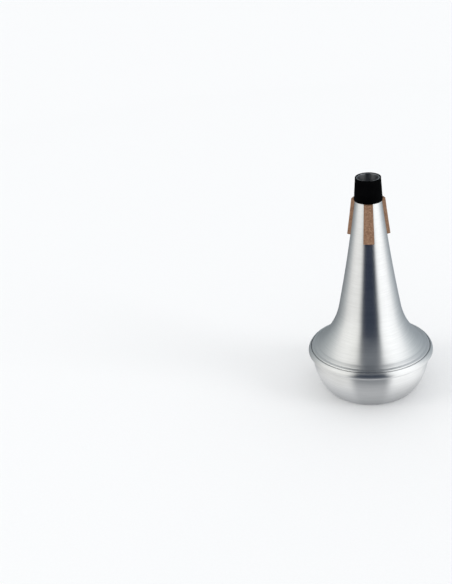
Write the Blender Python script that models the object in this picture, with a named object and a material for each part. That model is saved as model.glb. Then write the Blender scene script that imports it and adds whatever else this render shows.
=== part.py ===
"""Trombone straight mute, one object for each separate piece.

Metres, +Z up. The origin is the middle of the flat base disc, on the mute's axis.
Every turned piece is drawn as an outline of (radius, height) points and spun about Z.
"""
import math

import bmesh
import bpy
from mathutils import Matrix

# Whole mute
OVERALL_HEIGHT = 0.2563         # base disc to the top of the sleeve
CLEARANCE = 0.0003              # gap left between two pieces that touch

# Bowl, spun from sheet, with a flat base disc and a rolled edge
BOWL_WALL = 0.0010
BASE_FLAT_RADIUS = 0.0487
BASE_EDGE_RADIUS = 0.0029
BASE_EDGE_TURN = 48.5           # degrees from the base disc up to the start of the wall
BOWL_RIM_RADIUS = 0.0659        # outside of the wall where the bead starts
BEAD_HEIGHT = 0.0461            # widest circle of the bead above the base
BEAD_PROUD = 0.0051             # how far the bead stands out from the wall
BEAD_UNDER_RADIUS = 0.0028      # rounding from the widest circle to the underside
BEAD_UNDER_TURN = 65.0          # degrees turned by that rounding
BEAD_TOP_RADIUS = 0.0075        # rounding from the widest circle to the lip
BEAD_TOP_TURN = 32.0            # degrees turned by that rounding, so the lip leans inwards
BEAD_LIP_REACH = 0.0022         # how far the edge of the lip lies in from the widest circle
BEAD_ROOT_RADIUS = 0.0008       # inside corner under the bead

# Cone, spun from sheet, with a band beside the lip and a hem that lies inside the bead
CONE_WALL = 0.0010
NECK_TOP_RADIUS = 0.01255
NECK_FOOT_RADIUS = 0.01480      # outside of the cone where the sleeve ends
NECK_DROP = 0.0004              # top edge of the neck below the top of the sleeve
WAIST_RADIUS = 0.0348           # outside of the cone where the flare starts
WAIST_HEIGHT = 0.1017
CONE_HOLLOW = 0.0011            # how far the long side bends in from a straight line
FLARE_FOOT_RADIUS = 0.0604      # crease between the flare and the band
BAND_SLOPE = 25.0               # degrees by which the band falls outwards
BAND_FOOT_RISE = 0.0011         # foot of the band above the edge of the lip
SCORE_RADIUS = 0.0642           # fine line turned in the band
SCORE_WIDTH = 0.0008
SCORE_DEPTH = 0.0003
SHOULDER_RADIUS = 0.0017        # rounding from the band down into the groove
GROOVE_WIDTH = 0.0014           # open groove between the shoulder and the edge of the lip
HEM_CORNER_RADIUS = 0.0003
HEM_TOP_TURN = 44.0             # the hem leans in more than the lip, which opens the groove
HEM_END_TURN = 35.0             # how far the hem curls back under the widest circle

# Neck sleeve, moulded rubber
SLEEVE_LENGTH = 0.0260
SLEEVE_TOP_RADIUS = 0.0141
SLEEVE_FOOT_RADIUS = 0.0157
SLEEVE_EDGE_RADIUS = 0.0004

# Corks, three strips glued on the cone
CORK_LENGTH = 0.0432
CORK_THICKNESS = 0.0045
CORK_TOP_WIDTH = 0.0098
CORK_FOOT_WIDTH = 0.0120
CORK_BEVEL = 0.0011
CORK_AZIMUTHS = {"cork_front": -90.0, "cork_right": 30.0, "cork_left": 150.0}

# Finishes, as colour (linear), roughness and metallic value
ALUMINIUM = ((0.78, 0.79, 0.80), 0.30, 1.0)
RUBBER = ((0.010, 0.010, 0.012), 0.70, 0.0)
CORK = ((0.29, 0.17, 0.105), 0.85, 0.0)

# Fineness of the round forms
TURN_STEPS = 60
BODY_STEPS = 6
FLARE_STEPS = 7
WALL_STEPS = 7
BEAD_UNDER_STEPS = 4
BEAD_TOP_STEPS = 4
SHOULDER_STEPS = 3
CORNER_STEPS = 2
CORK_LENGTH_CUTS = 4
CORK_WIDTH_CUTS = 3
MERGE_DISTANCE = 0.000001
SMOOTH_ANGLE = math.radians(35.0)

# Sizes that follow from the ones above
BEAD_OUTER_RADIUS = BOWL_RIM_RADIUS + BEAD_PROUD
BEAD_LIP_RADIUS = BEAD_OUTER_RADIUS - BEAD_LIP_REACH
SKIRT_RADIUS = BEAD_LIP_RADIUS - GROOVE_WIDTH
SLEEVE_FOOT_HEIGHT = OVERALL_HEIGHT - SLEEVE_LENGTH
NECK_TOP_HEIGHT = OVERALL_HEIGHT - NECK_DROP


def clear_scene():
    """Remove whatever the scene holds."""
    for obj in list(bpy.data.objects):
        bpy.data.objects.remove(obj, do_unlink=True)


def make_material(name, finish):
    """A Principled material of one plain finish."""
    colour, roughness, metallic = finish
    material = bpy.data.materials.new(name)
    material.use_nodes = True
    shader = material.node_tree.nodes["Principled BSDF"]
    shader.inputs["Base Color"].default_value = (*colour, 1.0)
    shader.inputs["Roughness"].default_value = roughness
    shader.inputs["Metallic"].default_value = metallic
    return material


def arc(centre, radius, start, end, steps):
    """Points on a circle from one angle to another, in degrees, 0 pointing away from the axis."""
    points = []
    for step in range(steps + 1):
        angle = math.radians(start + (end - start) * step / steps)
        points.append((centre[0] + radius * math.cos(angle), centre[1] + radius * math.sin(angle)))
    return points


def heading(start, end):
    """Direction from one point to another, in degrees."""
    return math.degrees(math.atan2(end[1] - start[1], end[0] - start[0]))


def arc_leaving(start, direction, end, steps):
    """Arc that leaves start in the given direction and reaches end."""
    half_turn = heading(start, end) - direction
    chord = math.dist(start, end)
    radius = chord / (2.0 * math.sin(math.radians(half_turn)))
    side = math.radians(direction + 90.0)
    centre = (start[0] + radius * math.cos(side), start[1] + radius * math.sin(side))
    first = direction - 90.0
    return arc(centre, radius, first, first + 2.0 * half_turn, steps)


def hollow_arc(start, end, hollow, steps):
    """Arc between two points whose middle lies towards the axis by the given amount."""
    chord = math.dist(start, end)
    half_turn = math.degrees(2.0 * math.atan(2.0 * hollow / chord))
    return arc_leaving(start, heading(start, end) - half_turn, end, steps)


def end_direction(points):
    """Direction in which a round stretch ends, half a step past its last chord."""
    last = heading(points[-2], points[-1])
    return last + (last - heading(points[-3], points[-2])) / 2.0


def round_corner(before, corner, after, radius, steps):
    """Arc that replaces a corner between two straight runs."""
    into = heading(before, corner)
    turn = (heading(corner, after) - into + 180.0) % 360.0 - 180.0
    reach = radius * math.tan(math.radians(abs(turn) / 2.0))
    along = math.radians(into)
    start = (corner[0] - reach * math.cos(along), corner[1] - reach * math.sin(along))
    side = math.copysign(90.0, turn)
    centre = (
        start[0] + radius * math.cos(math.radians(into + side)),
        start[1] + radius * math.sin(math.radians(into + side)),
    )
    return arc(centre, radius, into - side, into - side + turn, steps)


def sheet(outside, thickness, side):
    """Closed outline of a sheet: its outside, and the same line moved over by its thickness."""
    inside = []
    for index, point in enumerate(outside):
        before = outside[max(index - 1, 0)]
        after = outside[min(index + 1, len(outside) - 1)]
        into = heading(before, point) if index > 0 else heading(point, after)
        out = heading(point, after) if index < len(outside) - 1 else into
        turn = (out - into + 180.0) % 360.0 - 180.0
        normal = math.radians(into + turn / 2.0 + side)
        reach = thickness / math.cos(math.radians(turn / 2.0))
        inside.append((point[0] + reach * math.cos(normal), point[1] + reach * math.sin(normal)))
    return outside + inside[::-1]


def run_to_radius(start, direction, radius):
    """Point where a straight run in the given direction reaches a radius."""
    length = (radius - start[0]) / math.cos(math.radians(direction))
    return (radius, start[1] + length * math.sin(math.radians(direction)))


def radius_at(outline, height):
    """Radius of an outline that runs downwards, at a height."""
    for upper, lower in zip(outline, outline[1:]):
        if upper[1] >= height >= lower[1]:
            share = (upper[1] - height) / (upper[1] - lower[1])
            return upper[0] + share * (lower[0] - upper[0])
    raise ValueError("height outside the outline")


def add_object(name, mesh_data, finish):
    """Turn bmesh data into a named object with its own material and smooth round faces."""
    mesh = bpy.data.meshes.new(name)
    bmesh.ops.recalc_face_normals(mesh_data, faces=mesh_data.faces)
    mesh_data.to_mesh(mesh)
    mesh_data.free()
    mesh.materials.append(make_material(name + "_surface", finish))
    mesh.shade_smooth()
    mesh.set_sharp_from_angle(angle=SMOOTH_ANGLE)
    bpy.context.scene.collection.objects.link(bpy.data.objects.new(name, mesh))


def add_turned(name, outline, finish):
    """Spin an outline about Z. An outline that starts and ends on the axis stays open there."""
    data = bmesh.new()
    verts = [data.verts.new((radius, 0.0, height)) for radius, height in outline]
    edges = [data.edges.new(pair) for pair in zip(verts, verts[1:])]
    if outline[0][0] > MERGE_DISTANCE:
        edges.append(data.edges.new((verts[-1], verts[0])))
    bmesh.ops.spin(
        data,
        geom=verts + edges,
        cent=(0.0, 0.0, 0.0),
        axis=(0.0, 0.0, 1.0),
        angle=2.0 * math.pi,
        steps=TURN_STEPS,
        use_merge=True,
    )
    bmesh.ops.remove_doubles(data, verts=data.verts, dist=MERGE_DISTANCE)
    bmesh.ops.dissolve_degenerate(data, edges=data.edges, dist=MERGE_DISTANCE)
    add_object(name, data, finish)


def bead_under(inset, turn):
    """Rounding below the widest circle of the bead, moved in by inset, from the circle down."""
    centre = (BEAD_OUTER_RADIUS - BEAD_UNDER_RADIUS, BEAD_HEIGHT)
    return arc(centre, BEAD_UNDER_RADIUS - inset, 0.0, -turn, BEAD_UNDER_STEPS)


def bead_over(inset, turn, end_radius):
    """Rounding above the widest circle, moved in by inset, and its straight run inwards."""
    centre = (BEAD_OUTER_RADIUS - BEAD_TOP_RADIUS, BEAD_HEIGHT)
    over = arc(centre, BEAD_TOP_RADIUS - inset, 0.0, turn, BEAD_TOP_STEPS)
    return over + [run_to_radius(over[-1], turn + 90.0, end_radius)]


def bead_outside():
    """Outside of the bead above its widest circle, up to the edge of the lip."""
    return bead_over(0.0, BEAD_TOP_TURN, BEAD_LIP_RADIUS)


def bowl_outside():
    """Outside of the bowl, from the axis along the base, up the wall and over the bead."""
    edge_centre = (BASE_FLAT_RADIUS, BASE_EDGE_RADIUS)
    base_edge = arc(edge_centre, BASE_EDGE_RADIUS, -90.0, BASE_EDGE_TURN - 90.0, CORNER_STEPS)
    under = bead_under(0.0, BEAD_UNDER_TURN)
    root_corner = run_to_radius(under[-1], -BEAD_UNDER_TURN - 90.0, BOWL_RIM_RADIUS)
    wall_top = (root_corner[0], root_corner[1] - BEAD_ROOT_RADIUS)
    wall = arc_leaving(base_edge[-1], BASE_EDGE_TURN, wall_top, WALL_STEPS)
    root = round_corner(wall_top, root_corner, under[-1], BEAD_ROOT_RADIUS, CORNER_STEPS)
    return [(0.0, 0.0)] + base_edge + wall[1:-1] + root + under[:0:-1] + bead_outside()


def shoulder():
    """Rounding at the foot of the band, turning down into the groove beside the lip."""
    start = 90.0 - BAND_SLOPE
    band_foot = bead_outside()[-1][1] + BAND_FOOT_RISE
    centre = (
        SKIRT_RADIUS - SHOULDER_RADIUS,
        band_foot - SHOULDER_RADIUS * math.sin(math.radians(start)),
    )
    return arc(centre, SHOULDER_RADIUS, start, 0.0, SHOULDER_STEPS)


def band():
    """Sloping band from the crease of the flare to just above the shoulder, with its scored line."""
    foot = shoulder()[0]
    up_slope = 180.0 - BAND_SLOPE
    crease = run_to_radius(foot, up_slope, FLARE_FOOT_RADIUS)
    score_start = run_to_radius(foot, up_slope, SCORE_RADIUS - SCORE_WIDTH / 2.0)
    score_middle = run_to_radius(foot, up_slope, SCORE_RADIUS)
    score_end = run_to_radius(foot, up_slope, SCORE_RADIUS + SCORE_WIDTH / 2.0)
    score_bottom = (score_middle[0], score_middle[1] - SCORE_DEPTH)
    return [crease, score_start, score_bottom, score_end]


def cone_side():
    """Outside of the cone from the foot of the sleeve down to the crease of the flare."""
    foot = (NECK_FOOT_RADIUS, SLEEVE_FOOT_HEIGHT)
    body = hollow_arc(foot, (WAIST_RADIUS, WAIST_HEIGHT), CONE_HOLLOW, BODY_STEPS)
    flare = arc_leaving(body[-1], end_direction(body), band()[0], FLARE_STEPS)
    return body + flare[1:]


def hem():
    """Curled edge of the cone, which follows the inside of the bead round its bend."""
    inset = BOWL_WALL + CLEARANCE
    over = bead_over(inset, HEM_TOP_TURN, SKIRT_RADIUS)[::-1]
    under = bead_under(inset, HEM_END_TURN)
    corner = round_corner(shoulder()[-1], over[0], over[1], HEM_CORNER_RADIUS, CORNER_STEPS)
    return corner + over[1:] + under[1:]


def add_bowl_shell():
    """Bowl with its flat base and the bead rolled over the hem of the cone."""
    add_turned("bowl_shell", sheet(bowl_outside(), BOWL_WALL, 90.0), ALUMINIUM)


def add_cone_shell():
    """Cone with its open neck, flare, band and hem."""
    neck_top = (NECK_TOP_RADIUS, NECK_TOP_HEIGHT)
    outside = [neck_top] + cone_side() + band()[1:] + shoulder() + hem()
    add_turned("cone_shell", sheet(outside, CONE_WALL, -90.0), ALUMINIUM)


def add_neck_sleeve():
    """Rubber sleeve that grips the taper of the neck, thinner towards its foot."""
    top = (SLEEVE_TOP_RADIUS, OVERALL_HEIGHT)
    foot = (SLEEVE_FOOT_RADIUS, SLEEVE_FOOT_HEIGHT)
    neck_slope = (NECK_FOOT_RADIUS - NECK_TOP_RADIUS) / (NECK_TOP_HEIGHT - SLEEVE_FOOT_HEIGHT)
    inner_top = (NECK_TOP_RADIUS + CLEARANCE - neck_slope * NECK_DROP, OVERALL_HEIGHT)
    inner_foot = (NECK_FOOT_RADIUS + CLEARANCE, SLEEVE_FOOT_HEIGHT)
    outline = [inner_foot]
    outline += round_corner(inner_foot, inner_top, top, SLEEVE_EDGE_RADIUS, CORNER_STEPS)
    outline += round_corner(inner_top, top, foot, SLEEVE_EDGE_RADIUS, CORNER_STEPS)
    outline.append(foot)
    add_turned("neck_sleeve", outline, RUBBER)


def add_cork(name, azimuth):
    """Cork strip laid on the cone: a bevelled block with a hollow back that fits the cone."""
    data = bmesh.new()
    bmesh.ops.create_cube(data, size=1.0)
    for vert in data.verts:
        vert.co.x *= CORK_FOOT_WIDTH
        vert.co.y = (vert.co.y + 0.5) * CORK_THICKNESS
        vert.co.z = vert.co.z * CORK_LENGTH
    face_edges = [edge for edge in data.edges if min(v.co.y for v in edge.verts) > CORK_THICKNESS / 2.0]
    bmesh.ops.bevel(data, geom=face_edges, offset=CORK_BEVEL, segments=2, profile=0.5, affect="EDGES")
    for cut in range(1, CORK_LENGTH_CUTS):
        height = CORK_LENGTH * (cut / CORK_LENGTH_CUTS - 0.5)
        slice_at(data, (0.0, 0.0, height), (0.0, 0.0, 1.0))
    for cut in range(1, CORK_WIDTH_CUTS):
        across = CORK_FOOT_WIDTH * (cut / CORK_WIDTH_CUTS - 0.5)
        slice_at(data, (across, 0.0, 0.0), (1.0, 0.0, 0.0))
    side = cone_side()
    top_height = SLEEVE_FOOT_HEIGHT - CLEARANCE
    for vert in data.verts:
        height = top_height - CORK_LENGTH / 2.0 + vert.co.z
        share = 0.5 + vert.co.z / CORK_LENGTH
        width_scale = 1.0 + share * (CORK_TOP_WIDTH / CORK_FOOT_WIDTH - 1.0)
        across = vert.co.x * width_scale
        outwards = math.sqrt((radius_at(side, height) + CLEARANCE) ** 2 - across ** 2) + vert.co.y
        vert.co = (outwards, -across, height)
    turn = Matrix.Rotation(math.radians(azimuth), 3, "Z")
    bmesh.ops.rotate(data, verts=data.verts, cent=(0.0, 0.0, 0.0), matrix=turn)
    add_object(name, data, CORK)


def slice_at(data, point, normal):
    """Cut every face along a plane, keeping both sides."""
    geometry = list(data.verts) + list(data.edges) + list(data.faces)
    bmesh.ops.bisect_plane(data, geom=geometry, dist=MERGE_DISTANCE, plane_co=point, plane_no=normal)


def main():
    clear_scene()
    add_bowl_shell()
    add_cone_shell()
    add_neck_sleeve()
    for name, azimuth in CORK_AZIMUTHS.items():
        add_cork(name, azimuth)


main()
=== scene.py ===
"""Trombone straight mute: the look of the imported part, in metres, +Z up, base disc on the floor."""

import math

import bmesh
import bpy
from mathutils import Matrix, Vector, noise


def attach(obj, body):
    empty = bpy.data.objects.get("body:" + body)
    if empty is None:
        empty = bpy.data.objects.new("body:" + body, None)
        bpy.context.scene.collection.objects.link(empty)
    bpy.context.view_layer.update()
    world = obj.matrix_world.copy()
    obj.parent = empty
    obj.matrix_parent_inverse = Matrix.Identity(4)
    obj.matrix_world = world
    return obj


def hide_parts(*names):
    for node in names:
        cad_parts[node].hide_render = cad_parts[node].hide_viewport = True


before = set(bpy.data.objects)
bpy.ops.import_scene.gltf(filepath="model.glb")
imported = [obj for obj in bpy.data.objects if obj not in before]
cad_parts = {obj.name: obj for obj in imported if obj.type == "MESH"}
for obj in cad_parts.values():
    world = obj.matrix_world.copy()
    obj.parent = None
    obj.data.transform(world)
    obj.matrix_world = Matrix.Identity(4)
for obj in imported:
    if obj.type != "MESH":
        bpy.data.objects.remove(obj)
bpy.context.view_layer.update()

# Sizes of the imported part, in metres
OVERALL_HEIGHT = 0.2563
CLEARANCE = 0.0003
BOWL_WALL = 0.0010
BASE_FLAT_RADIUS = 0.0487
BASE_EDGE_RADIUS = 0.0029
BASE_EDGE_TURN = 48.5
BOWL_RIM_RADIUS = 0.0659
BEAD_HEIGHT = 0.0461
BEAD_PROUD = 0.0051
BEAD_UNDER_RADIUS = 0.0028
BEAD_UNDER_TURN = 65.0
BEAD_TOP_RADIUS = 0.0075
BEAD_TOP_TURN = 32.0
BEAD_LIP_REACH = 0.0022
BEAD_ROOT_RADIUS = 0.0008
CONE_WALL = 0.0010
NECK_TOP_RADIUS = 0.01255
NECK_FOOT_RADIUS = 0.01480
NECK_DROP = 0.0004
WAIST_RADIUS = 0.0348
WAIST_HEIGHT = 0.1017
CONE_HOLLOW = 0.0011
FLARE_FOOT_RADIUS = 0.0604
BAND_SLOPE = 25.0
BAND_FOOT_RISE = 0.0011
SCORE_RADIUS = 0.0642
SCORE_WIDTH = 0.0008
SCORE_DEPTH = 0.0003
SHOULDER_RADIUS = 0.0017
GROOVE_WIDTH = 0.0014
HEM_CORNER_RADIUS = 0.0003
HEM_TOP_TURN = 44.0
HEM_END_TURN = 35.0
SLEEVE_LENGTH = 0.0260
SLEEVE_TOP_RADIUS = 0.0141
SLEEVE_FOOT_RADIUS = 0.0157
SLEEVE_EDGE_RADIUS = 0.0004
CORK_LENGTH = 0.0432
CORK_THICKNESS = 0.0045
CORK_TOP_WIDTH = 0.0098
CORK_FOOT_WIDTH = 0.0120
CORK_BEVEL = 0.0011
CORK_AZIMUTHS = {"cork_front": -90.0, "cork_right": 30.0, "cork_left": 150.0}

BEAD_OUTER_RADIUS = BOWL_RIM_RADIUS + BEAD_PROUD
BEAD_LIP_RADIUS = BEAD_OUTER_RADIUS - BEAD_LIP_REACH
SKIRT_RADIUS = BEAD_LIP_RADIUS - GROOVE_WIDTH
SLEEVE_FOOT_HEIGHT = OVERALL_HEIGHT - SLEEVE_LENGTH
NECK_TOP_HEIGHT = OVERALL_HEIGHT - NECK_DROP

# Rounding of the bare sheet edges, inside the solid's own edges
SHEET_EDGE_RADIUS = 0.00047

# Fineness of the turned forms
TURN_STEPS = 192
LONG_STEPS = 24
ROUND_STEPS = 10
SMALL_STEPS = 5
SHARP_ANGLE = 40.0
AXIS_TOLERANCE = 1e-6

# Fineness of the cork strips
CORK_BEVEL_STEPS = 3
CORK_SLICES_ALONG = 62
CORK_SLICES_ACROSS = 16
CORK_SLICES_THROUGH = 7
CORK_SHARP_ANGLE = 50.0
SLICE_TOLERANCE = 1e-7

# Pits and grain of the cork, as noise scales and depths, past a share of the thickness that stays smooth
CORK_PIT_SCALE = 900.0
CORK_PIT_START = 0.15
CORK_PIT_DEPTH = 0.00026
CORK_GRAIN_SCALE = 2200.0
CORK_GRAIN_DEPTH = 0.00003
CORK_SMOOTH_BACK = 0.1


# Outlines of (radius, height) points

def arc(centre, radius, start, end, steps):
    points = []
    for step in range(steps + 1):
        angle = math.radians(start + (end - start) * step / steps)
        points.append((centre[0] + radius * math.cos(angle), centre[1] + radius * math.sin(angle)))
    return points


def heading(start, end):
    return math.degrees(math.atan2(end[1] - start[1], end[0] - start[0]))


def arc_leaving(start, direction, end, steps):
    half_turn = heading(start, end) - direction
    radius = math.dist(start, end) / (2.0 * math.sin(math.radians(half_turn)))
    side = math.radians(direction + 90.0)
    centre = (start[0] + radius * math.cos(side), start[1] + radius * math.sin(side))
    first = direction - 90.0
    return arc(centre, radius, first, first + 2.0 * half_turn, steps)


def hollow_arc(start, end, hollow, steps):
    half_turn = math.degrees(2.0 * math.atan(2.0 * hollow / math.dist(start, end)))
    return arc_leaving(start, heading(start, end) - half_turn, end, steps)


def end_direction(points):
    last = heading(points[-2], points[-1])
    return last + (last - heading(points[-3], points[-2])) / 2.0


def line_length(points):
    return sum(math.dist(start, end) for start, end in zip(points, points[1:]))


def round_corner(before, corner, after, radius, steps):
    into = heading(before, corner)
    turn = (heading(corner, after) - into + 180.0) % 360.0 - 180.0
    reach = radius * math.tan(math.radians(abs(turn) / 2.0))
    along = math.radians(into)
    start = (corner[0] - reach * math.cos(along), corner[1] - reach * math.sin(along))
    side = math.copysign(90.0, turn)
    centre = (
        start[0] + radius * math.cos(math.radians(into + side)),
        start[1] + radius * math.sin(math.radians(into + side)),
    )
    return arc(centre, radius, into - side, into - side + turn, steps)


# Side of a line, as a turn from its direction
LEFT = 90.0
RIGHT = -90.0


def sheet(outside, thickness, side):
    """Closed outline of a sheet: its outside, and the same line moved over by its thickness."""
    inside = []
    for index, point in enumerate(outside):
        before = outside[max(index - 1, 0)]
        after = outside[min(index + 1, len(outside) - 1)]
        into = heading(before, point) if index > 0 else heading(point, after)
        out = heading(point, after) if index < len(outside) - 1 else into
        turn = (out - into + 180.0) % 360.0 - 180.0
        normal = math.radians(into + turn / 2.0 + side)
        reach = thickness / math.cos(math.radians(turn / 2.0))
        inside.append((point[0] + reach * math.cos(normal), point[1] + reach * math.sin(normal)))
    return outside + inside[::-1]


def soften(outline, index, radius):
    """Round one corner of a closed outline."""
    after = outline[(index + 1) % len(outline)]
    rounded = round_corner(outline[index - 1], outline[index], after, radius, SMALL_STEPS)
    return outline[:index] + rounded + outline[index + 1:]


def run_to_radius(start, direction, radius):
    length = (radius - start[0]) / math.cos(math.radians(direction))
    return (radius, start[1] + length * math.sin(math.radians(direction)))


def radius_at(outline, height):
    for upper, lower in zip(outline, outline[1:]):
        if upper[1] >= height >= lower[1]:
            share = (upper[1] - height) / (upper[1] - lower[1])
            return upper[0] + share * (lower[0] - upper[0])
    raise ValueError("height outside the outline")


def bead_under(inset, turn):
    centre = (BEAD_OUTER_RADIUS - BEAD_UNDER_RADIUS, BEAD_HEIGHT)
    return arc(centre, BEAD_UNDER_RADIUS - inset, 0.0, -turn, ROUND_STEPS)


def bead_over(inset, turn, end_radius):
    centre = (BEAD_OUTER_RADIUS - BEAD_TOP_RADIUS, BEAD_HEIGHT)
    over = arc(centre, BEAD_TOP_RADIUS - inset, 0.0, turn, ROUND_STEPS)
    return over + [run_to_radius(over[-1], turn + 90.0, end_radius)]


def bead_outside():
    return bead_over(0.0, BEAD_TOP_TURN, BEAD_LIP_RADIUS)


def bowl_outside():
    edge_centre = (BASE_FLAT_RADIUS, BASE_EDGE_RADIUS)
    base = [(BASE_FLAT_RADIUS * step / LONG_STEPS, 0.0) for step in range(LONG_STEPS)]
    base_edge = arc(edge_centre, BASE_EDGE_RADIUS, -90.0, BASE_EDGE_TURN - 90.0, ROUND_STEPS)
    under = bead_under(0.0, BEAD_UNDER_TURN)
    root_corner = run_to_radius(under[-1], -BEAD_UNDER_TURN - 90.0, BOWL_RIM_RADIUS)
    wall_top = (root_corner[0], root_corner[1] - BEAD_ROOT_RADIUS)
    wall = arc_leaving(base_edge[-1], BASE_EDGE_TURN, wall_top, LONG_STEPS)
    root = round_corner(wall_top, root_corner, under[-1], BEAD_ROOT_RADIUS, SMALL_STEPS)
    return base + base_edge + wall[1:-1] + root + under[:0:-1] + bead_outside()


def shoulder():
    start = 90.0 - BAND_SLOPE
    band_foot = bead_outside()[-1][1] + BAND_FOOT_RISE
    centre = (
        SKIRT_RADIUS - SHOULDER_RADIUS,
        band_foot - SHOULDER_RADIUS * math.sin(math.radians(start)),
    )
    return arc(centre, SHOULDER_RADIUS, start, 0.0, ROUND_STEPS)


def band():
    foot = shoulder()[0]
    up_slope = 180.0 - BAND_SLOPE
    crease = run_to_radius(foot, up_slope, FLARE_FOOT_RADIUS)
    score_start = run_to_radius(foot, up_slope, SCORE_RADIUS - SCORE_WIDTH / 2.0)
    score_middle = run_to_radius(foot, up_slope, SCORE_RADIUS)
    score_end = run_to_radius(foot, up_slope, SCORE_RADIUS + SCORE_WIDTH / 2.0)
    score_bottom = (score_middle[0], score_middle[1] - SCORE_DEPTH)
    return [crease, score_start, score_bottom, score_end]


def cone_side():
    foot = (NECK_FOOT_RADIUS, SLEEVE_FOOT_HEIGHT)
    body = hollow_arc(foot, (WAIST_RADIUS, WAIST_HEIGHT), CONE_HOLLOW, LONG_STEPS)
    flare = arc_leaving(body[-1], end_direction(body), band()[0], LONG_STEPS)
    return body + flare[1:]


def hem():
    inset = BOWL_WALL + CLEARANCE
    over = bead_over(inset, HEM_TOP_TURN, SKIRT_RADIUS)[::-1]
    under = bead_under(inset, HEM_END_TURN)
    corner = round_corner(shoulder()[-1], over[0], over[1], HEM_CORNER_RADIUS, SMALL_STEPS)
    return corner + over[1:] + under[1:]


def sleeve_outline():
    top = (SLEEVE_TOP_RADIUS, OVERALL_HEIGHT)
    foot = (SLEEVE_FOOT_RADIUS, SLEEVE_FOOT_HEIGHT)
    slope = (NECK_FOOT_RADIUS - NECK_TOP_RADIUS) / (NECK_TOP_HEIGHT - SLEEVE_FOOT_HEIGHT)
    inner_top = (NECK_TOP_RADIUS + CLEARANCE - slope * NECK_DROP, OVERALL_HEIGHT)
    inner_foot = (NECK_FOOT_RADIUS + CLEARANCE, SLEEVE_FOOT_HEIGHT)
    outline = [inner_foot]
    outline += round_corner(inner_foot, inner_top, top, SLEEVE_EDGE_RADIUS, SMALL_STEPS)
    outline += round_corner(inner_top, top, foot, SLEEVE_EDGE_RADIUS, SMALL_STEPS)
    outline += [foot]
    return outline


# Meshes

def turned(name, outline, closed):
    """Spin an outline about Z. The layer "along" holds the turn and the distance along the outline."""
    count = len(outline)
    rows = []
    verts = []
    for radius, height in outline:
        if radius < AXIS_TOLERANCE:
            rows.append([len(verts)] * TURN_STEPS)
            verts.append((0.0, 0.0, height))
            continue
        row = []
        for step in range(TURN_STEPS):
            angle = 2.0 * math.pi * step / TURN_STEPS
            row.append(len(verts))
            verts.append((radius * math.cos(angle), radius * math.sin(angle), height))
        rows.append(row)
    distance = [0.0]
    for index in range(count):
        distance.append(distance[-1] + math.dist(outline[index], outline[(index + 1) % count]))
    faces = []
    along = []
    for index in range(count if closed else count - 1):
        after = (index + 1) % count
        for step in range(TURN_STEPS):
            beside = (step + 1) % TURN_STEPS
            corners = [rows[index][step], rows[index][beside], rows[after][beside], rows[after][step]]
            places = [distance[index], distance[index], distance[index + 1], distance[index + 1]]
            face = []
            for corner, place in zip(corners, places):
                if corner not in face:
                    face.append(corner)
                    along.append(place)
            faces.append(face)
    mesh = bpy.data.meshes.new(name)
    mesh.from_pydata(verts, [], faces)
    layer = mesh.uv_layers.new(name="along")
    for loop, place in zip(mesh.loops, along):
        vert = mesh.vertices[loop.vertex_index].co
        turn = math.atan2(vert.y, vert.x) / (2.0 * math.pi) + 0.5
        layer.data[loop.index].uv = (turn, place)
    mesh.shade_smooth()
    mesh.set_sharp_from_angle(angle=math.radians(SHARP_ANGLE))
    return place_object(name, mesh)


def place_object(name, mesh):
    obj = bpy.data.objects.new(name, mesh)
    bpy.context.scene.collection.objects.link(obj)
    return obj


def slice_at(data, point, normal):
    geometry = list(data.verts) + list(data.edges) + list(data.faces)
    bmesh.ops.bisect_plane(
        data, geom=geometry, dist=SLICE_TOLERANCE, plane_co=point, plane_no=normal
    )


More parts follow.
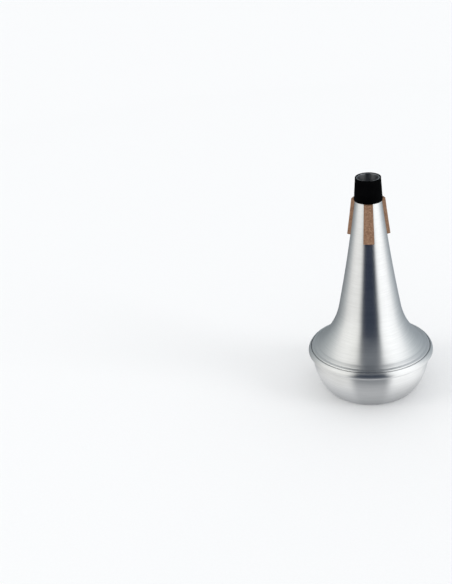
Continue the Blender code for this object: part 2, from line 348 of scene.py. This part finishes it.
def cork_piece(name, azimuth):
    """Cork strip wrapped on the cone, with a bevelled outside and small pits."""
    data = bmesh.new()
    bmesh.ops.create_cube(data, size=1.0)
    for vert in data.verts:
        vert.co.x *= CORK_FOOT_WIDTH
        vert.co.y = (vert.co.y + 0.5) * CORK_THICKNESS
        vert.co.z *= CORK_LENGTH
    face_edges = [edge for edge in data.edges if min(v.co.y for v in edge.verts) > CORK_THICKNESS / 2.0]
    bmesh.ops.bevel(
        data, geom=face_edges, offset=CORK_BEVEL, segments=CORK_BEVEL_STEPS, profile=0.5, affect="EDGES"
    )
    for cut in range(1, CORK_SLICES_ALONG):
        height = CORK_LENGTH * (cut / CORK_SLICES_ALONG - 0.5)
        slice_at(data, (0.0, 0.0, height), (0.0, 0.0, 1.0))
    for cut in range(1, CORK_SLICES_ACROSS):
        across = CORK_FOOT_WIDTH * (cut / CORK_SLICES_ACROSS - 0.5)
        slice_at(data, (across, 0.0, 0.0), (1.0, 0.0, 0.0))
    # The last slice would cut the bevel, so it is left out
    for cut in range(1, CORK_SLICES_THROUGH - 1):
        depth = CORK_THICKNESS * cut / CORK_SLICES_THROUGH
        slice_at(data, (0.0, depth, 0.0), (0.0, 1.0, 0.0))
    data.normal_update()
    side = cone_side()
    top_height = SLEEVE_FOOT_HEIGHT - CLEARANCE
    seed = Vector((azimuth, 0.0, 0.0))
    moves = []
    for vert in data.verts:
        pits = noise.noise(vert.co * CORK_PIT_SCALE + seed)
        grain = noise.noise(vert.co * CORK_GRAIN_SCALE + seed)
        inwards = CORK_PIT_DEPTH * max(pits - CORK_PIT_START, 0.0) + CORK_GRAIN_DEPTH * (grain + 1.0)
        free = vert.co.y > CORK_THICKNESS * CORK_SMOOTH_BACK
        moves.append(vert.co - vert.normal * (inwards if free else 0.0))
    for vert, place in zip(data.verts, moves):
        height = top_height - CORK_LENGTH / 2.0 + place.z
        share = 0.5 + place.z / CORK_LENGTH
        width_scale = 1.0 + share * (CORK_TOP_WIDTH / CORK_FOOT_WIDTH - 1.0)
        across = place.x * width_scale
        seat_radius = radius_at(side, min(height, SLEEVE_FOOT_HEIGHT)) + CLEARANCE
        vert.co = (math.sqrt(seat_radius ** 2 - across ** 2) + place.y, -across, height)
    turn = Matrix.Rotation(math.radians(azimuth), 3, "Z")
    bmesh.ops.rotate(data, verts=data.verts, cent=(0.0, 0.0, 0.0), matrix=turn)
    bmesh.ops.recalc_face_normals(data, faces=data.faces)
    mesh = bpy.data.meshes.new(name)
    data.to_mesh(mesh)
    data.free()
    mesh.shade_smooth()
    mesh.set_sharp_from_angle(angle=math.radians(CORK_SHARP_ANGLE))
    return place_object(name, mesh)


# Materials

# Sockets of the mix node that hold colours
FIRST_COLOUR = 6
SECOND_COLOUR = 7
MIXED_COLOUR = 2


class Nodes:
    """Short helper for building a node tree."""

    def __init__(self, tree):
        self.tree = tree

    def add(self, kind, **settings):
        node = self.tree.nodes.new(kind)
        for key, value in settings.items():
            setattr(node, key, value)
        return node

    def link(self, source, target):
        self.tree.links.new(source, target)

    def put(self, value, socket):
        if isinstance(value, bpy.types.NodeSocket):
            self.link(value, socket)
        else:
            socket.default_value = value

    def math(self, operation, first, second=0.0):
        node = self.add("ShaderNodeMath", operation=operation)
        for value, socket in zip((first, second), node.inputs):
            self.put(value, socket)
        return node.outputs[0]

    def from_axis(self, x, y):
        """Distance from the Z axis."""
        squares = self.math("ADD", self.math("MULTIPLY", x, x), self.math("MULTIPLY", y, y))
        return self.math("SQRT", squares)

    def split(self, vector):
        node = self.add("ShaderNodeSeparateXYZ")
        self.link(vector, node.inputs[0])
        return node.outputs

    def combine(self, x, y, z):
        node = self.add("ShaderNodeCombineXYZ")
        for value, socket in zip((x, y, z), node.inputs):
            self.put(value, socket)
        return node.outputs[0]

    def noise(self, vector, scale, detail=2.0, roughness=0.5):
        node = self.add("ShaderNodeTexNoise")
        self.link(vector, node.inputs["Vector"])
        node.inputs["Scale"].default_value = scale
        node.inputs["Detail"].default_value = detail
        node.inputs["Roughness"].default_value = roughness
        return node.outputs["Fac"]

    def spread(self, value, low, high, to_low, to_high):
        node = self.add("ShaderNodeMapRange", interpolation_type="SMOOTHSTEP")
        for source, socket in zip((value, low, high, to_low, to_high), node.inputs):
            self.put(source, socket)
        return node.outputs[0]

    def mix(self, share, first, second, blend="MIX"):
        node = self.add("ShaderNodeMix", data_type="RGBA", blend_type=blend)
        self.put(share, node.inputs[0])
        self.put(first, node.inputs[FIRST_COLOUR])
        self.put(second, node.inputs[SECOND_COLOUR])
        return node.outputs[MIXED_COLOUR]

    def multiply(self, first, second):
        return self.mix(1.0, first, second, "MULTIPLY")

    def ramp(self, value, stops):
        node = self.add("ShaderNodeValToRGB")
        self.link(value, node.inputs[0])
        elements = node.color_ramp.elements
        while len(elements) < len(stops):
            elements.new(0.5)
        for element, (position, colour) in zip(elements, stops):
            element.position = position
            element.color = (*colour, 1.0)
        return node.outputs[0]

    def bump(self, height, distance, strength, normal=None):
        node = self.add("ShaderNodeBump")
        node.inputs["Strength"].default_value = strength
        node.inputs["Distance"].default_value = distance
        self.link(height, node.inputs["Height"])
        if normal is not None:
            self.link(normal, node.inputs["Normal"])
        return node.outputs["Normal"]


def new_material(name):
    material = bpy.data.materials.new(name)
    material.use_nodes = True
    nodes = Nodes(material.node_tree)
    return material, nodes, material.node_tree.nodes["Principled BSDF"]


# Brushed aluminium. Lines are (noise scale round the axis, noise scale along the outline, detail)
FINE_LINES = (3.0, 2400.0, 2.0)
MEDIUM_LINES = (1.6, 760.0, 2.0)
TOOL_WAVES = (0.4, 110.0, 1.0)
LINE_NOISE_ROUGHNESS = 0.55
FINE_LINE_DEPTH = 0.000001
MEDIUM_LINE_DEPTH = 0.000003
TOOL_WAVE_DEPTH = 0.00003
LINE_STRENGTH = 0.6
FINE_LINE_SHARE = 0.35
MEDIUM_LINE_SHARE = 0.65
METAL_DARK = (0.825, 0.83, 0.835, 1.0)
METAL_LIGHT = (0.895, 0.90, 0.905, 1.0)
METAL_SMOOTHEST = 0.279
METAL_ROUGHEST = 0.291
METAL_ANISOTROPY = 0.86
QUARTER_TURN = 0.25
SMUDGE_SCALE = 28.0
SMUDGE_COLOUR = (0.74, 0.74, 0.73, 1.0)
SMUDGE_SHARE = 0.10
SMUDGE_ROUGHNESS = 0.03
# Inner face: a darker colour as painted shade inside the tube, and a rougher finish, fading in past the
# outside's length
INSIDE_SHADE_COLOUR = (0.42, 0.43, 0.45, 1.0)
INSIDE_ROUGHNESS = 0.08
INSIDE_START = 0.0010
INSIDE_FULL = 0.0016
# Painted shade along the flare-foot crease: its colour, its share, its width, and the heights below which
# it fades out
CREASE_SHADE_COLOUR = (0.10, 0.10, 0.11, 1.0)
CREASE_SHADE_SHARE = 0.06
CREASE_SHADE_FULL = 0.0001
CREASE_SHADE_END = 0.0005
CREASE_SHADE_FLOOR_START = BEAD_HEIGHT - 0.0030
CREASE_SHADE_FLOOR_END = BEAD_HEIGHT - 0.0015


def brushed_aluminium(name, outside_length):
    """Spun aluminium, brushed round the axis and duller inside, with painted shade darkening the inside
    and a faint painted shade line along the flare-foot crease.
    """
    material, n, shader = new_material(name)
    place = n.add("ShaderNodeTexCoord").outputs["Object"]
    x, y, height = n.split(place)
    distance = n.split(n.add("ShaderNodeUVMap", uv_map="along").outputs["UV"])[1]
    angle = n.math("ARCTAN2", y, x)
    cosine = n.math("COSINE", angle)
    sine = n.math("SINE", angle)

    def lines(round_scale, line_scale, detail):
        vector = n.combine(
            n.math("MULTIPLY", cosine, round_scale),
            n.math("MULTIPLY", sine, round_scale),
            n.math("MULTIPLY", distance, line_scale),
        )
        return n.noise(vector, 1.0, detail, LINE_NOISE_ROUGHNESS)

    fine = lines(*FINE_LINES)
    medium = lines(*MEDIUM_LINES)
    waves = lines(*TOOL_WAVES)
    smudges = n.spread(n.noise(place, SMUDGE_SCALE, 3.0, 0.6), 0.48, 0.72, 0.0, 1.0)
    inside = n.spread(distance, outside_length + INSIDE_START, outside_length + INSIDE_FULL, 0.0, 1.0)
    # Painted shade: a faint dark line along the flare-foot crease, faded out below the bead's height
    above_bowl = n.spread(height, CREASE_SHADE_FLOOR_START, CREASE_SHADE_FLOOR_END, 0.0, 1.0)
    from_crease = n.math("ABSOLUTE", n.math("SUBTRACT", n.from_axis(x, y), FLARE_FOOT_RADIUS))
    crease_shade = n.math("MULTIPLY", n.spread(from_crease, CREASE_SHADE_FULL, CREASE_SHADE_END, CREASE_SHADE_SHARE, 0.0), above_bowl)

    fine_tone = n.math("MULTIPLY", fine, FINE_LINE_SHARE)
    tone = n.math("ADD", fine_tone, n.math("MULTIPLY", medium, MEDIUM_LINE_SHARE))
    colour = n.mix(n.spread(tone, 0.32, 0.68, 0.0, 1.0), METAL_DARK, METAL_LIGHT)
    colour = n.mix(n.math("MULTIPLY", smudges, SMUDGE_SHARE), colour, SMUDGE_COLOUR)
    # Painted shade: the inner face is darker
    colour = n.mix(inside, colour, INSIDE_SHADE_COLOUR)
    # Painted shade along the flare-foot crease
    colour = n.mix(crease_shade, colour, CREASE_SHADE_COLOUR)
    n.link(colour, shader.inputs["Base Color"])
    rough = n.spread(medium, 0.3, 0.7, METAL_SMOOTHEST, METAL_ROUGHEST)
    rough = n.math("ADD", rough, n.math("MULTIPLY", smudges, SMUDGE_ROUGHNESS))
    rough = n.math("ADD", rough, n.math("MULTIPLY", inside, INSIDE_ROUGHNESS))
    n.link(rough, shader.inputs["Roughness"])
    shader.inputs["Metallic"].default_value = 1.0
    shader.inputs["Anisotropic"].default_value = METAL_ANISOTROPY
    shader.inputs["Anisotropic Rotation"].default_value = QUARTER_TURN
    tangent = n.add("ShaderNodeTangent", direction_type="RADIAL", axis="Z")
    n.link(tangent.outputs[0], shader.inputs["Tangent"])
    normal = n.bump(waves, TOOL_WAVE_DEPTH, LINE_STRENGTH)
    normal = n.bump(medium, MEDIUM_LINE_DEPTH, LINE_STRENGTH, normal)
    normal = n.bump(fine, FINE_LINE_DEPTH, LINE_STRENGTH, normal)
    n.link(normal, shader.inputs["Normal"])
    return material


# Pressed cork
GRANULE_SCALE = 850.0
GRANULE_WARP_SCALE = 700.0
GRANULE_WARP = 0.0006
GRANULE_BROWNS = [
    (0.0, (0.200, 0.104, 0.059)),
    (0.25, (0.295, 0.167, 0.100)),
    (0.6, (0.360, 0.212, 0.131)),
    (1.0, (0.442, 0.272, 0.172)),
]
GRANULE_SEAM_COLOUR = (0.10, 0.05, 0.03, 1.0)
GRANULE_SEAM_DEPTH = 0.0001
CORK_GRAIN_COLOUR = (0.13, 0.065, 0.038, 1.0)
CORK_FINE_GRAIN_SCALE = 2600.0
CORK_FINE_GRAIN_DEPTH = 0.00008
CORK_SPECK_COLOUR = (0.06, 0.03, 0.02, 1.0)
CORK_SPECK_SCALE = 1300.0
CORK_GLOSS = 0.25


def cork_material(name):
    """Pressed cork: small granules in several browns, dark specks and an open grain."""
    material, n, shader = new_material(name)
    place = n.add("ShaderNodeTexCoord").outputs["Object"]
    offset = n.add("ShaderNodeTexNoise")
    n.link(place, offset.inputs["Vector"])
    offset.inputs["Scale"].default_value = GRANULE_WARP_SCALE
    warp = n.add("ShaderNodeVectorMath", operation="MULTIPLY_ADD")
    n.link(offset.outputs["Color"], warp.inputs[0])
    warp.inputs[1].default_value = (GRANULE_WARP, GRANULE_WARP, GRANULE_WARP)
    n.link(place, warp.inputs[2])
    granules = n.add("ShaderNodeTexVoronoi")
    seams = n.add("ShaderNodeTexVoronoi", feature="DISTANCE_TO_EDGE")
    for cells in (granules, seams):
        n.link(warp.outputs[0], cells.inputs["Vector"])
        cells.inputs["Scale"].default_value = GRANULE_SCALE
    from_seam = seams.outputs["Distance"]
    grain = n.noise(place, CORK_FINE_GRAIN_SCALE, 4.0, 0.65)
    colour = n.ramp(n.split(granules.outputs["Color"])[0], GRANULE_BROWNS)
    colour = n.mix(n.spread(grain, 0.35, 0.75, 0.45, 0.0), colour, CORK_GRAIN_COLOUR)
    colour = n.mix(n.spread(from_seam, 0.0, 0.10, 0.55, 0.0), colour, GRANULE_SEAM_COLOUR)
    specks = n.spread(n.noise(place, CORK_SPECK_SCALE, 2.0, 0.5), 0.66, 0.72, 0.0, 0.8)
    colour = n.mix(specks, colour, CORK_SPECK_COLOUR)
    n.link(colour, shader.inputs["Base Color"])
    n.link(n.spread(grain, 0.3, 0.7, 0.95, 0.80), shader.inputs["Roughness"])
    shader.inputs["Specular IOR Level"].default_value = CORK_GLOSS
    normal = n.bump(n.spread(from_seam, 0.0, 0.25, 0.0, 1.0), GRANULE_SEAM_DEPTH, 0.5)
    normal = n.bump(grain, CORK_FINE_GRAIN_DEPTH, 0.6, normal)
    n.link(normal, shader.inputs["Normal"])
    return material


# Black rubber
RUBBER_DARK = (0.0006, 0.0006, 0.0009, 1.0)
RUBBER_LIGHT = (0.0014, 0.0014, 0.0018, 1.0)
RUBBER_CLOUD_SCALE = 90.0
RUBBER_GRAIN_SCALE = 1800.0
RUBBER_GRAIN_DEPTH = 0.00006
RUBBER_GLOSS = 0.02
DUST_COLOUR = (0.02, 0.02, 0.021, 1.0)
DUST_SCALE = 3200.0


def rubber_material(name):
    """Matte black rubber with a fine moulded grain and a little dust."""
    material, n, shader = new_material(name)
    place = n.add("ShaderNodeTexCoord").outputs["Object"]
    grain = n.noise(place, RUBBER_GRAIN_SCALE, 3.0, 0.6)
    cloud = n.noise(place, RUBBER_CLOUD_SCALE, 3.0, 0.6)
    dust = n.spread(n.noise(place, DUST_SCALE, 1.0, 0.5), 0.68, 0.76, 0.0, 0.25)
    colour = n.mix(n.spread(cloud, 0.35, 0.7, 0.0, 1.0), RUBBER_DARK, RUBBER_LIGHT)
    colour = n.mix(dust, colour, DUST_COLOUR)
    n.link(colour, shader.inputs["Base Color"])
    n.link(n.spread(grain, 0.3, 0.7, 0.62, 0.85), shader.inputs["Roughness"])
    shader.inputs["Specular IOR Level"].default_value = RUBBER_GLOSS
    n.link(n.bump(grain, RUBBER_GRAIN_DEPTH, 0.4), shader.inputs["Normal"])
    return material


# Floor paper
PAPER_DARK = (0.89, 0.89, 0.89, 1.0)
PAPER_LIGHT = (0.93, 0.93, 0.93, 1.0)
PAPER_ROUGHNESS = 0.9
PAPER_GLOSS = 0.1
TOOTH_SCALE = 400.0
TOOTH_DEPTH = 0.0002


def floor_material():
    """Pale matte studio paper with a faint tooth."""
    material, n, shader = new_material("floor_paper")
    place = n.add("ShaderNodeTexCoord").outputs["Object"]
    tooth = n.noise(place, TOOTH_SCALE, 3.0, 0.6)
    n.link(n.mix(tooth, PAPER_DARK, PAPER_LIGHT), shader.inputs["Base Color"])
    shader.inputs["Roughness"].default_value = PAPER_ROUGHNESS
    shader.inputs["Specular IOR Level"].default_value = PAPER_GLOSS
    n.link(n.bump(tooth, TOOTH_DEPTH, 0.2), shader.inputs["Normal"])
    return material


# Glow of the two wide screens, by turn from the camera side, which is 1 at the back
SCREEN_STOPS = [
    (0.12, (0.05, 0.06, 0.07)),
    (0.15, (0.25, 0.26, 0.27)),
    (0.18, (0.70, 0.71, 0.71)),
    (0.22, (1.00, 1.00, 0.99)),
    (0.36, (1.08, 1.08, 1.08)),
    (0.48, (0.98, 0.98, 0.98)),
    (0.58, (0.66, 0.685, 0.70)),
    (0.68, (0.45, 0.48, 0.50)),
    (0.80, (0.32, 0.35, 0.375)),
    (1.0, (0.27, 0.30, 0.325)),
]
SIDE_FADE = 0.10

# Glow between the screens, from the front, over the top, to the back
OVERHEAD_STOPS = [
    (0.0, (0.004, 0.012, 0.036)),
    (0.13, (0.005, 0.014, 0.038)),
    (0.18, (0.03, 0.04, 0.06)),
    (0.21, (0.22, 0.235, 0.255)),
    (0.34, (0.20, 0.215, 0.23)),
    (0.42, (0.115, 0.13, 0.15)),
    (0.50, (0.02, 0.03, 0.045)),
    (0.70, (0.02, 0.03, 0.045)),
    (1.0, (0.30, 0.31, 0.32)),
]
LEFT_SCREEN_TINT = (0.955, 0.955, 0.925, 1.0)
RIGHT_SCREEN_TINT = (1.115, 1.13, 1.13, 1.0)
SCREEN_EDGE_START = 0.10
SCREEN_EDGE_END = 0.17
SCREEN_TOP_START = 0.58
SCREEN_TOP_END = 0.92

# Painted reflection of the floor, a glow that only the metal sees, by distance from the axis as a share of
# its reach; darker near the foot as painted shadow
TABLE_REACH = 0.30
TABLE_FRONT_STOPS = [
    (0.16, (0.28, 0.29, 0.30)),
    (0.20, (0.44, 0.45, 0.46)),
    (0.25, (0.52, 0.53, 0.54)),
    (0.34, (0.47, 0.48, 0.49)),
    (0.44, (0.26, 0.27, 0.28)),
    (0.56, (0.20, 0.22, 0.24)),
    (0.75, (0.06, 0.08, 0.11)),
    (1.0, (0.004, 0.012, 0.036)),
]
TABLE_FOOT_SHADOW_STOPS = [
    (0.16, (0.34, 0.35, 0.36)),
    (0.20, (0.50, 0.51, 0.52)),
    (0.28, (0.76, 0.77, 0.78)),
    (0.42, (1.0, 1.0, 1.0)),
]
LEFT_TABLE_TINT = (0.73, 0.73, 0.715, 1.0)
RIGHT_TABLE_TINT = (1.05, 1.06, 1.06, 1.0)
TABLE_LEAST_TURN = 0.30
TABLE_FOOT_START = 0.22
TABLE_FOOT_END = 0.38
WEDGE_APEX = 0.034
WEDGE_INNER_ANGLE = 27.0
WEDGE_OUTER_ANGLE = 49.0


def glow_material(name):
    material = bpy.data.materials.new(name)
    material.use_nodes = True
    n = Nodes(material.node_tree)
    material.node_tree.nodes.clear()
    glow = n.add("ShaderNodeEmission")
    glow.inputs["Strength"].default_value = 1.0
    n.link(glow.outputs[0], n.add("ShaderNodeOutputMaterial").inputs["Surface"])
    place = n.add("ShaderNodeTexCoord").outputs["Object"]
    return material, n, glow, n.split(place)


def turn_from_front(n, x, y):
    """Turn from the camera side, 0 in front and 1 at the back."""
    bearing = n.math("ARCTAN2", x, n.math("MULTIPLY", y, -1.0))
    return n.math("DIVIDE", n.math("ABSOLUTE", bearing), math.pi)


def screen_glow(n, turn, x, left, right):
    """Glow round the axis: two wide screens that fade to the back, each side with its own tint."""
    screens = n.ramp(turn, SCREEN_STOPS)
    side = n.spread(x, -SIDE_FADE, SIDE_FADE, 0.0, 1.0)
    return n.multiply(screens, n.mix(side, left, right))


def tent_material():
    """Glow of the studio as the metal sees it: two wide screens, a dark gap between them in front."""
    material, n, glow, (x, y, z) = glow_material("studio_screens")
    turn = turn_from_front(n, x, y)
    rise = n.math("DIVIDE", n.math("ARCTAN2", z, n.from_axis(x, y)), math.pi / 2.0)
    over = n.math("DIVIDE", n.math("ARCTAN2", z, n.math("MULTIPLY", y, -1.0)), math.pi)
    between = n.ramp(over, OVERHEAD_STOPS)
    screens = screen_glow(n, turn, x, LEFT_SCREEN_TINT, RIGHT_SCREEN_TINT)
    walls = n.mix(n.spread(turn, SCREEN_EDGE_START, SCREEN_EDGE_END, 0.0, 1.0), between, screens)
    colour = n.mix(n.spread(rise, SCREEN_TOP_START, SCREEN_TOP_END, 0.0, 1.0), walls, between)
    n.link(colour, glow.inputs["Color"])
    return material


def painted_floor_reflection_material():
    """Painted reflection of the floor as the metal sees it: light at the sides, painted shadow near the
    foot, darker in a wedge towards the camera.
    """
    material, n, glow, (x, y, _) = glow_material("painted_floor_reflection")
    turn = turn_from_front(n, x, y)
    reach = n.math("DIVIDE", n.from_axis(x, y), TABLE_REACH)
    ahead = n.math("SUBTRACT", n.math("MULTIPLY", y, -1.0), WEDGE_APEX)
    bearing = n.math("ARCTAN2", n.math("ABSOLUTE", x), ahead)
    front = n.ramp(reach, TABLE_FRONT_STOPS)
    # Painted shadow: the glow is darker near the foot
    foot = n.ramp(reach, TABLE_FOOT_SHADOW_STOPS)
    around_turn = n.math("MAXIMUM", turn, TABLE_LEAST_TURN)
    around = screen_glow(n, around_turn, x, LEFT_TABLE_TINT, RIGHT_TABLE_TINT)
    sides = n.mix(n.spread(reach, TABLE_FOOT_START, TABLE_FOOT_END, 0.0, 1.0), foot, around)
    wedge_start = math.radians(WEDGE_INNER_ANGLE)
    wedge_end = math.radians(WEDGE_OUTER_ANGLE)
    share = n.spread(bearing, wedge_start, wedge_end, 0.0, 1.0)
    n.link(n.mix(share, front, sides), glow.inputs["Color"])
    return material


# Pieces

def add_pieces():
    bowl_line = bowl_outside()
    bowl_outline = sheet(bowl_line, BOWL_WALL, LEFT)
    for corner in (len(bowl_line), len(bowl_line) - 1):
        bowl_outline = soften(bowl_outline, corner, SHEET_EDGE_RADIUS)
    bowl = turned("bowl_brushed", bowl_outline, False)
    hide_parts("bowl_shell")
    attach(bowl, "root")
    bowl.data.materials.append(brushed_aluminium("bowl_brushed_aluminium", line_length(bowl_line)))

    neck_top = (NECK_TOP_RADIUS, NECK_TOP_HEIGHT)
    cone_line = [neck_top] + cone_side() + band()[1:] + shoulder() + hem()
    cone_outline = sheet(cone_line, CONE_WALL, RIGHT)
    for corner in (len(cone_outline) - 1, 0):
        cone_outline = soften(cone_outline, corner, SHEET_EDGE_RADIUS)
    cone = turned("cone_brushed", cone_outline, True)
    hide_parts("cone_shell")
    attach(cone, "root")
    cone.data.materials.append(brushed_aluminium("cone_brushed_aluminium", line_length(cone_line)))

    sleeve = turned("sleeve_moulded", sleeve_outline(), True)
    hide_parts("neck_sleeve")
    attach(sleeve, "root")
    sleeve.data.materials.append(rubber_material("sleeve_moulded_rubber"))

    cork = cork_material("pressed_cork")
    for node, azimuth in CORK_AZIMUTHS.items():
        strip = cork_piece(node + "_strip", azimuth)
        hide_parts(node)
        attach(strip, "root")
        strip.data.materials.append(cork)


# Studio
FLOOR_HALF = 6.0
FLOOR_DROP = 0.0001
SCREEN_RADIUS = 1.2
SCREEN_TOP_ANGLE = 89.9
SCREEN_RINGS = 24
SCREEN_STEPS = 96
TABLE_DROP = 0.00005
TABLE_HOLE_RADIUS = 0.0005

# Place, strength and colour of each key light
KEY_LIGHTS = {
    "key_light_left": ((-2.6, -1.0, 1.36), 0.52, (1.0, 0.98, 0.95)),
    "key_light_right": ((2.6, -1.0, 1.36), 0.60, (0.98, 0.99, 1.0)),
}
KEY_LIGHT_SPREAD = 26.0
WORLD_COLOUR = (0.97, 0.985, 1.0, 1.0)
WORLD_STRENGTH = 0.93


def add_floor():
    signs = [(-1, -1), (1, -1), (1, 1), (-1, 1)]
    corners = [(x * FLOOR_HALF, y * FLOOR_HALF, 0.0) for x, y in signs]
    mesh = bpy.data.meshes.new("floor")
    mesh.from_pydata(corners, [], [(0, 1, 2, 3)])
    floor = place_object("floor", mesh)
    floor.location.z = -FLOOR_DROP
    mesh.materials.append(floor_material())


def spun_screen(name, outline, material):
    """Round screen about Z that only reflections see."""
    verts = []
    for radius, height in outline:
        for step in range(SCREEN_STEPS):
            angle = 2.0 * math.pi * step / SCREEN_STEPS
            verts.append((radius * math.cos(angle), radius * math.sin(angle), height))
    faces = []
    for row in range(len(outline) - 1):
        near = row * SCREEN_STEPS
        far = near + SCREEN_STEPS
        for step in range(SCREEN_STEPS):
            after = (step + 1) % SCREEN_STEPS
            faces.append((near + step, near + after, far + after, far + step))
    mesh = bpy.data.meshes.new(name)
    mesh.from_pydata(verts, [], faces)
    mesh.materials.append(material)
    screen = place_object(name, mesh)
    screen.visible_camera = False
    screen.visible_diffuse = False
    screen.visible_shadow = False
    screen.visible_transmission = False
    screen.visible_volume_scatter = False


def add_screens():
    dome = arc((0.0, 0.0), SCREEN_RADIUS, 0.0, SCREEN_TOP_ANGLE, SCREEN_RINGS)
    table = [(SCREEN_RADIUS, -TABLE_DROP), (TABLE_HOLE_RADIUS, -TABLE_DROP)]
    spun_screen("studio_screen", dome, tent_material())
    # The table disc carries a painted reflection of the floor, with painted shadow near the foot
    spun_screen("studio_table", table, painted_floor_reflection_material())


def add_key_light(name, place, strength, colour):
    """Broad soft light from far away, which reaches the whole floor evenly."""
    light = bpy.data.lights.new(name, "SUN")
    light.angle = math.radians(KEY_LIGHT_SPREAD)
    light.energy = strength
    light.color = colour
    obj = bpy.data.objects.new(name, light)
    obj.location = place
    obj.rotation_euler = (-Vector(place)).to_track_quat("-Z", "Y").to_euler()
    obj.visible_glossy = False
    obj.visible_camera = False
    bpy.context.scene.collection.objects.link(obj)


def add_world():
    world = bpy.data.worlds.new("studio")
    bpy.context.scene.world = world
    world.use_nodes = True
    background = world.node_tree.nodes["Background"]
    background.inputs["Color"].default_value = WORLD_COLOUR
    background.inputs["Strength"].default_value = WORLD_STRENGTH


# Camera of the photograph, with its frame, the aim point's place in it and the focal length in pixels
PHOTO_WIDTH = 452.0
PHOTO_HEIGHT = 584.0
AIM_PIXEL_X = 369.467
AIM_PIXEL_Y = 279.93
FOCAL_PIXELS = 1261.0
AIM_HEIGHT = 0.133
CAMERA_DISTANCE = 1.4233
CAMERA_ELEVATION = 25.56
CAMERA_ROLL = 0.858
SENSOR_WIDTH = 36.0
NEAREST_SEEN = 0.01
FARTHEST_SEEN = 50.0


def add_camera():
    """Camera at the photograph's viewing angle, fitted to the outline of the mute."""
    elevation = math.radians(CAMERA_ELEVATION)
    aim_right = AIM_PIXEL_X - PHOTO_WIDTH / 2.0
    aim_up = PHOTO_HEIGHT / 2.0 - AIM_PIXEL_Y
    view = Matrix((
        (1.0, 0.0, 0.0),
        (0.0, math.sin(elevation), math.cos(elevation)),
        (0.0, -math.cos(elevation), math.sin(elevation)),
    ))
    view = Matrix.Rotation(math.radians(CAMERA_ROLL), 3, "Z") @ view
    pitch = math.atan2(aim_up, math.hypot(aim_right, FOCAL_PIXELS))
    view = Matrix.Rotation(pitch, 3, "X") @ view
    view = Matrix.Rotation(-math.atan2(aim_right, FOCAL_PIXELS), 3, "Y") @ view
    data = bpy.data.cameras.new("camera")
    data.sensor_width = SENSOR_WIDTH
    data.lens = FOCAL_PIXELS / PHOTO_HEIGHT * SENSOR_WIDTH
    data.clip_start = NEAREST_SEEN
    data.clip_end = FARTHEST_SEEN
    camera = bpy.data.objects.new("camera", data)
    back = Vector((0.0, -math.cos(elevation), math.sin(elevation)))
    place = Vector((0.0, 0.0, AIM_HEIGHT)) + CAMERA_DISTANCE * back
    camera.matrix_world = Matrix.Translation(place) @ view.transposed().to_4x4()
    bpy.context.scene.collection.objects.link(camera)
    bpy.context.scene.camera = camera


add_camera()
add_pieces()
add_floor()
add_screens()
for light_name, (light_place, light_strength, light_colour) in KEY_LIGHTS.items():
    add_key_light(light_name, light_place, light_strength, light_colour)
add_world()
bpy.context.scene.view_settings.view_transform = "Standard"
